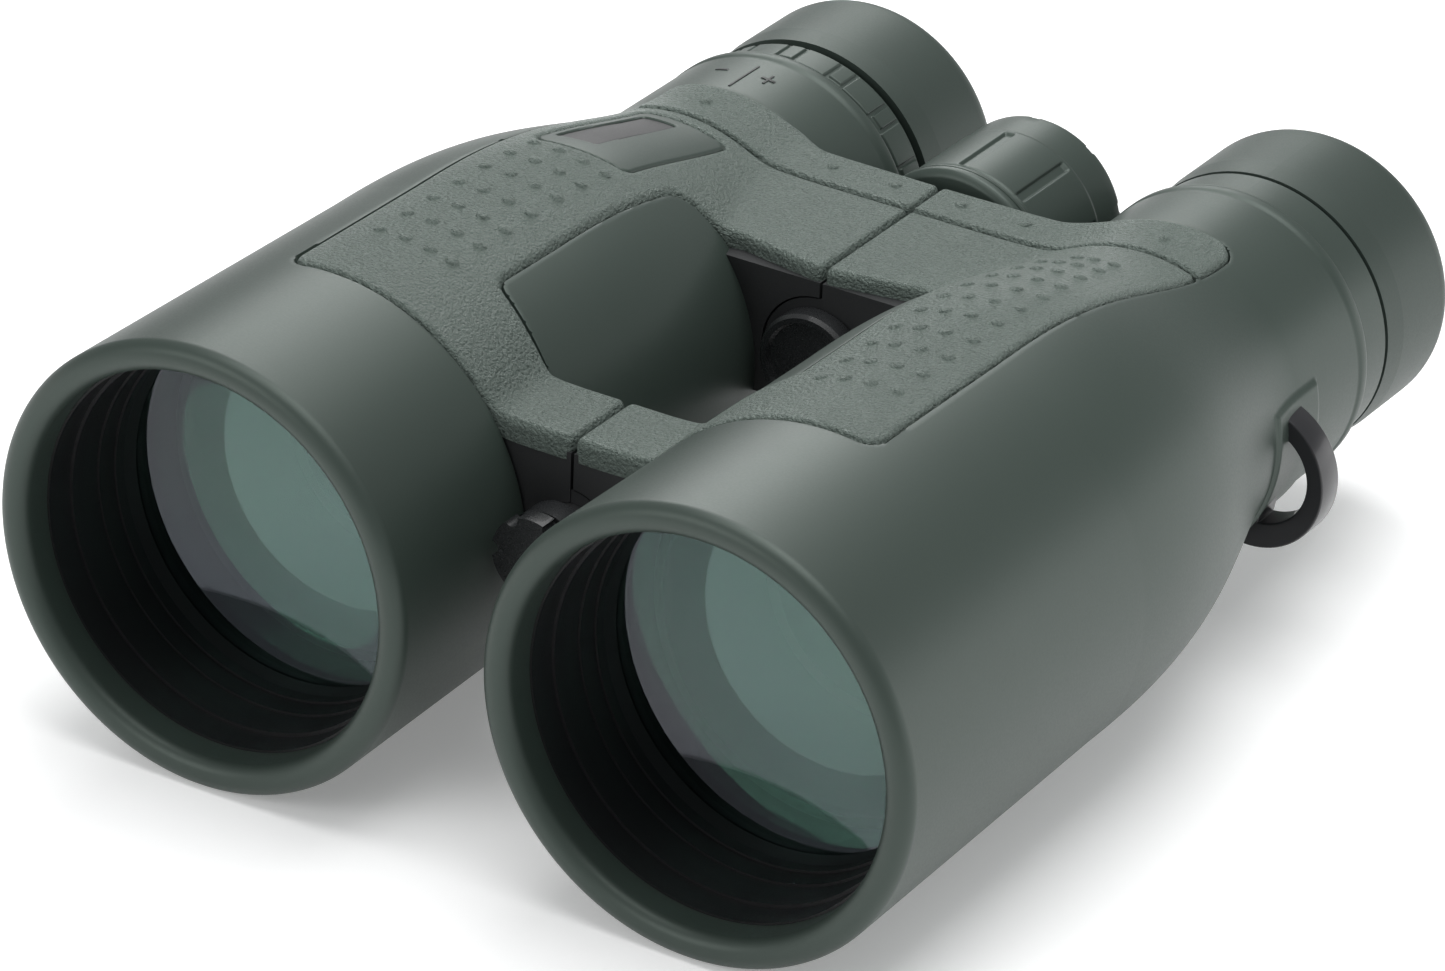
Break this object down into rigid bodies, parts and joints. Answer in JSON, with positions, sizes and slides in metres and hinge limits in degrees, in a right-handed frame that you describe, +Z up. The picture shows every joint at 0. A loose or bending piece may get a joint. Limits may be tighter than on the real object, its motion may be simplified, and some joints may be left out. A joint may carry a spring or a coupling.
{
  "type": "binoculars",
  "caption": "Large roof-prism astronomy binoculars with two rubber-covered barrels on an open double bridge, a centre focus wheel and twist-up eyecups.",
  "frame": {"origin": "under the middle of the binoculars, on the level surface that the two objective barrels lie on", "axes": "+X towards the user's left barrel, +Y from the objectives to the eyepieces along the optical axes, +Z up through the bridge side"},
  "size_m": [0.153, 0.1826, 0.07],
  "materials": {
    "black_metal": "matt black powder coat over a light alloy casting",
    "green_rubber": "smooth satin grey-green moulded rubber",
    "textured_rubber": "pebbled grey-green moulded rubber",
    "black_cell": "matt black anodised",
    "seal_rubber": "smooth black rubber",
    "coated_glass": "polished, green and violet anti-reflection coating",
    "glass": "polished clear",
    "black_plastic": "fine matt",
    "lug_plastic": "glossy moulded",
    "eyecup_rubber": "satin grey-green",
    "ring_rubber": "satin grey-green with ribs",
    "smooth_plate": "smooth satin",
    "black_gloss": "glossy black",
    "pin_steel": "turned",
    "wheel_plastic": "satin grey-green",
    "wheel_rubber": "satin grey-green",
    "screw_brass": "turned",
    "carriage_alloy": "turned"
  },
  "bodies": {
    "centre": {"front_hinge_pin": "pin_steel", "rear_hinge_tube": "pin_steel", "hinge_cap": "black_gloss", "carriage_drum": "black_plastic"},
    "tripod_cap": {"tripod_cap": "black_gloss"},
    "focus_wheel": {"wheel_hub": "wheel_plastic", "wheel_grip": "wheel_rubber", "wheel_cap": "wheel_plastic", "focus_screw": "screw_brass"},
    "focus_carriage": {"focus_carriage": "carriage_alloy"},
    "barrel_right": {"chassis_right": "black_metal", "front_bridge_right": "black_metal", "rear_bridge_right": "black_metal", "armour_right": "green_rubber", "grip_pad_right": "textured_rubber", "rear_cover_right": "textured_rubber", "objective_cell_right": "black_cell", "objective_seal_right": "seal_rubber", "retaining_ring_right": "black_cell", "front_lens_right": "coated_glass", "second_lens_right": "glass", "prism_cage_right": "black_plastic", "first_prism_right": "glass", "roof_prism_right": "glass", "eyepiece_housing_right": "black_plastic", "eye_lens_right": "coated_glass", "strap_lug_right": "lug_plastic", "name_plate": "smooth_plate", "badge": "black_gloss"},
    "focus_group_right": {"focus_cell_right": "black_cell", "focus_lens_right": "glass"},
    "eyecup_sleeve_right": {"eyecup_sleeve_right": "black_plastic"},
    "eyecup_right": {"eyecup_right": "eyecup_rubber"},
    "barrel_left": {"chassis_left": "black_metal", "front_bridge_left": "black_metal", "rear_bridge_left": "black_metal", "armour_left": "green_rubber", "grip_pad_left": "textured_rubber", "rear_cover_left": "textured_rubber", "objective_cell_left": "black_cell", "objective_seal_left": "seal_rubber", "retaining_ring_left": "black_cell", "front_lens_left": "coated_glass", "second_lens_left": "glass", "prism_cage_left": "black_plastic", "first_prism_left": "glass", "roof_prism_left": "glass", "eyepiece_housing_left": "black_plastic", "eye_lens_left": "coated_glass", "strap_lug_left": "lug_plastic", "eyepiece_ring": "ring_rubber", "field_lens_left": "glass"},
    "focus_group_left": {"focus_cell_left": "black_cell", "focus_lens_left": "glass"},
    "eyecup_sleeve_left": {"eyecup_sleeve_left": "black_plastic"},
    "eyecup_left": {"eyecup_left": "eyecup_rubber"},
    "dioptre_ring": {"dioptre_ring": "ring_rubber"},
    "dioptre_lens": {"field_lens_right": "glass"}
  },
  "joints": [
    {"name": "fold_left", "type": "hinge", "parent": "centre", "child": "barrel_left", "pos_m": [0, 0, 0.0404], "axis": [0, 1, 0], "range_deg": [0, 25]},
    {"name": "fold_right", "type": "hinge", "parent": "centre", "child": "barrel_right", "pos_m": [0, 0, 0.0404], "axis": [0, -1, 0], "range_deg": [0, 25]},
    {"name": "focus_turn", "type": "hinge", "parent": "centre", "child": "focus_wheel", "pos_m": [0, 0, 0.0404], "axis": [0, 1, 0], "range_deg": [-180, 180]},
    {"name": "carriage_slide", "type": "slide", "parent": "centre", "child": "focus_carriage", "axis": [0, 1, 0], "range_m": [-0.003, 0.003]},
    {"name": "tripod_cap_off", "type": "slide", "parent": "centre", "child": "tripod_cap", "axis": [0, -1, 0], "range_m": [0, 0.04]},
    {"name": "focus_slide_right", "type": "slide", "parent": "barrel_right", "child": "focus_group_right", "axis": [0, 1, 0], "range_m": [-0.003, 0.003]},
    {"name": "eyecup_turn_right", "type": "hinge", "parent": "barrel_right", "child": "eyecup_sleeve_right", "pos_m": [-0.04, 0, 0.035], "axis": [0, 1, 0], "range_deg": [0, 120]},
    {"name": "eyecup_rise_right", "type": "slide", "parent": "eyecup_sleeve_right", "child": "eyecup_right", "axis": [0, 1, 0], "range_m": [0, 0.008]},
    {"name": "focus_slide_left", "type": "slide", "parent": "barrel_left", "child": "focus_group_left", "axis": [0, 1, 0], "range_m": [-0.003, 0.003]},
    {"name": "eyecup_turn_left", "type": "hinge", "parent": "barrel_left", "child": "eyecup_sleeve_left", "pos_m": [0.04, 0, 0.035], "axis": [0, 1, 0], "range_deg": [0, 120]},
    {"name": "eyecup_rise_left", "type": "slide", "parent": "eyecup_sleeve_left", "child": "eyecup_left", "axis": [0, 1, 0], "range_m": [0, 0.008]},
    {"name": "dioptre_turn", "type": "hinge", "parent": "barrel_right", "child": "dioptre_ring", "pos_m": [-0.04, 0, 0.035], "axis": [0, 1, 0], "range_deg": [-30, 30]},
    {"name": "dioptre_slide", "type": "slide", "parent": "barrel_right", "child": "dioptre_lens", "axis": [0, 1, 0], "range_m": [-0.001, 0.001]}
  ],
  "couplings": [
    {"joint": "fold_right", "follows": "fold_left", "ratio": 1},
    {"joint": "carriage_slide", "follows": "focus_turn", "m_per_rad": 0.00095493},
    {"joint": "focus_slide_right", "follows": "focus_turn", "m_per_rad": 0.00095493},
    {"joint": "eyecup_rise_right", "follows": "eyecup_turn_right", "m_per_rad": 0.0038197},
    {"joint": "focus_slide_left", "follows": "focus_turn", "m_per_rad": 0.00095493},
    {"joint": "eyecup_rise_left", "follows": "eyecup_turn_left", "m_per_rad": 0.0038197},
    {"joint": "dioptre_slide", "follows": "dioptre_turn", "m_per_rad": 0.0019099}
  ]
}
